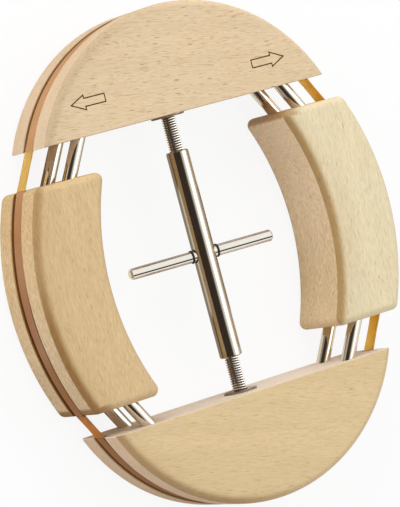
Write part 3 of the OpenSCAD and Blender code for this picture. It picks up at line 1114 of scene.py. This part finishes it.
# Painted reflections: the floor's tones as only shiny surfaces mirror them, and where one turns into the
# next. The dark ones are painted shade of the spindle and the left block, and the bar's painted shadow.
WARM_SHADE_TONE = (0.2, 0.108, 0.034, 1.0)
SPINDLE_TONE = (0.37, 0.315, 0.25, 1.0)
BAR_SHADOW_TONE = (0.06, 0.045, 0.03, 1.0)
PALE_TONE = (0.81, 0.775, 0.72, 1.0)
SPINDLE_LEFT = (-20.0 * MM, -27.0 * MM)
SPINDLE_RIGHT = (8.0 * MM, 12.0 * MM)
BAR_REACH = (24.0 * MM, 30.0 * MM)

# The dome: how bright it lights the object, and its dark cards, by direction, inner and outer angle
DOME_LEVEL = 0.63
CARD_TONE = (0.045, 0.033, 0.024, 1.0)
LEFT_CARD = ((-0.74, -0.05, 0.67), 40, 60)
LOW_CARD = ((0.25, -0.57, 0.78), 5, 20)

# The camera: focal length in the photograph's pixels, turns in degrees, and the object's middle from there
PHOTO_HEIGHT_PX = 507
FOCAL_PX = 2849.4
CAMERA_TURNS = (("Y", 29.372), ("X", -5.013), ("Z", 14.264))
CAMERA_OFFSET = Vector((1.69, -0.12, -1165.03)) * MM


def mirrored_ray(path):
    """1 for a ray that a shiny surface has mirrored, 0 for any other."""
    return path.output("Is Glossy Ray") * (1 - path.output("Is Transmission Ray"))


def pale_floor():
    """A white floor that keeps a light shadow of the object. Mirrored in the metal it shows painted
    reflections:
    dusky as painted shade under the spindle, warm brown as painted shade of the left block at the left, and
    pale at the right, but along the bar pale at the left and dark at the right as the bar's painted shadow."""
    square = ((-1, -1), (1, -1), (1, 1), (-1, 1))
    corners = [(x * FLOOR_HALF, y * FLOOR_HALF, -FLOOR_GAP) for x, y in square]
    floor = solid("floor", corners, [(0, 1, 2, 3)])
    material, tree, spot = new_finish("white floor")
    path = tree.node("LightPath")
    mirrored = mirrored_ray(path)
    seen = path.output("Is Camera Ray") + path.output("Is Glossy Ray") + path.output("Is Transmission Ray")
    share = tree.math("MINIMUM", seen, 1.0) * between(mirrored, FLOOR_WHITE, 1.0)
    place = tree.parts(spot)
    across = place.output("X")
    # Painted reflections: shade under the spindle and beside the left block, and the bar's shadow at its
    # right
    past_bar = tree.ramp(abs(place.output("Y")), *BAR_REACH)
    left = tree.mixed(past_bar, PALE_TONE, WARM_SHADE_TONE)
    right = tree.mixed(past_bar, BAR_SHADOW_TONE, PALE_TONE)
    mirror_tone = tree.mixed(tree.ramp(across, *SPINDLE_LEFT), SPINDLE_TONE, left)
    mirror_tone = tree.mixed(tree.ramp(across, *SPINDLE_RIGHT), mirror_tone, right)
    paint = tree.node("BsdfDiffuse", {}, {"Color": FLOOR_PAINT})
    glow = tree.node("Emission", {}, {"Color": tree.mixed(mirrored, WHITE, mirror_tone), "Strength": 1.0})
    surface = tree.node("MixShader", {}, {0: share, 1: paint, 2: glow})
    tree.node("OutputMaterial", {}, {"Surface": surface})
    floor.data.materials.append(material)


def lamp(name, place, size, energy, mirrored=True):
    """A large soft lamp that points at the object. The metal doesn't show it where mirrored is False."""
    light = bpy.data.lights.new(name, "AREA")
    light.size = size
    light.energy = energy
    stand = bpy.data.objects.new(name, light)
    stand.location = place
    stand.rotation_euler = (-stand.location).to_track_quat("-Z", "Y").to_euler()
    stand.visible_camera = False
    stand.visible_glossy = mirrored
    bpy.context.scene.collection.objects.link(stand)


def studio_light():
    """A white dome with two dark cards that show only where they are mirrored, and soft lamps at the
    right, the front and the left."""
    world = bpy.data.worlds.new("studio")
    bpy.context.scene.world = world
    tree = Tree(world)
    direction = tree.node("TexCoord", output="Generated")
    path = tree.node("LightPath")

    def card(centre, inner, outer):
        """1 in the middle of a dark card, 0 outside it."""
        towards = tree.vector("DOT_PRODUCT", direction, Vector(centre).normalized(), output="Value")
        return tree.ramp(towards, math.cos(math.radians(outer)), math.cos(math.radians(inner)))

    dark = card(*LEFT_CARD) + card(*LOW_CARD)
    dome = tree.mixed(dark * mirrored_ray(path), WHITE, CARD_TONE)
    level = between(path.output("Is Diffuse Ray"), 1.0, DOME_LEVEL)
    light = tree.node("Background", {}, {"Color": dome, "Strength": level})
    tree.node("OutputWorld", {}, {"Surface": light})
    lamp("right softbox", place=(1.0, 0.2, 1.25), size=1.0, energy=5.0)
    lamp("front fill", place=(-0.25, 1.4, 0.75), size=1.2, energy=10.6, mirrored=False)
    lamp("left fill", place=(-1.34, 0.77, 0.41), size=0.8, energy=6.0, mirrored=False)


def photo_camera():
    """The camera where the photograph was taken from."""
    turn = Matrix.Identity(3)
    for axis, angle in CAMERA_TURNS:
        turn = turn @ Matrix.Rotation(math.radians(angle), 3, axis)
    turn.transpose()
    lens = bpy.data.cameras.new("camera")
    lens.lens = FOCAL_PX / PHOTO_HEIGHT_PX * lens.sensor_width
    camera = bpy.data.objects.new("camera", lens)
    camera.matrix_world = Matrix.Translation(UPRIGHT * MID_Z - turn @ CAMERA_OFFSET) @ turn.to_4x4()
    bpy.context.scene.collection.objects.link(camera)
    bpy.context.scene.camera = camera


pale_floor()
studio_light()
photo_camera()
bpy.context.scene.view_settings.view_transform = "Standard"
